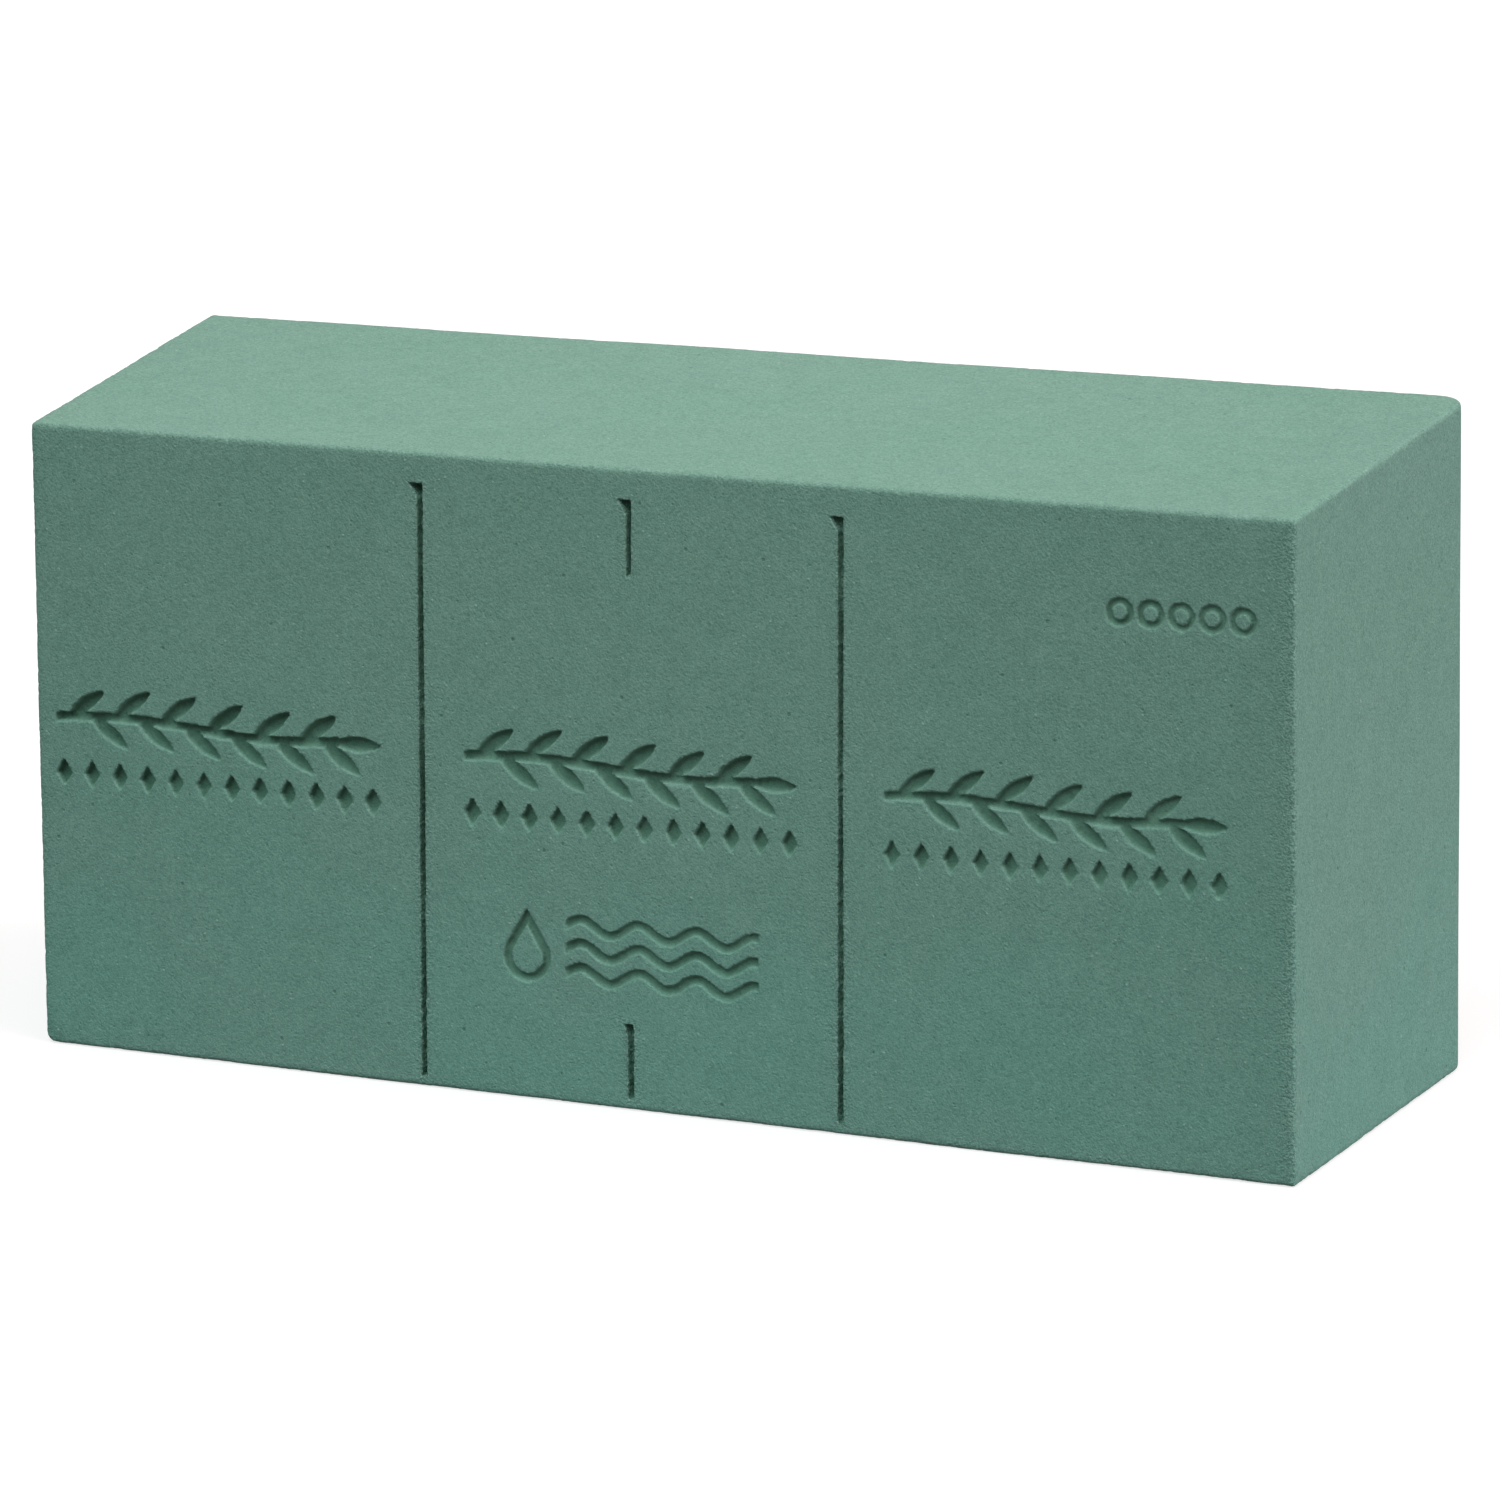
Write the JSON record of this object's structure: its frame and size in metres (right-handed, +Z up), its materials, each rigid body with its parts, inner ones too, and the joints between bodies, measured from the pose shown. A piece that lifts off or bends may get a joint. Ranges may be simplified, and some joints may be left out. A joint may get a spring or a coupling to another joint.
{
  "type": "floral foam brick",
  "caption": "Rectangular brick of rigid open-cell floral foam that soaks up water and holds cut stems, with score lines to cut it by and plain pressed ornaments on one face.",
  "frame": {"origin": "middle of the face that the brick stands on", "axes": "+Z up, +X along the length towards the end with the worn upright edge, -Y out of the marked face"},
  "size_m": [0.229, 0.079, 0.111],
  "materials": {
    "foam": "dry green phenolic foam, open cells, dull, with a fine sandy grain"
  },
  "bodies": {
    "root": {"foam_brick": "foam"}
  },
  "joints": []
}
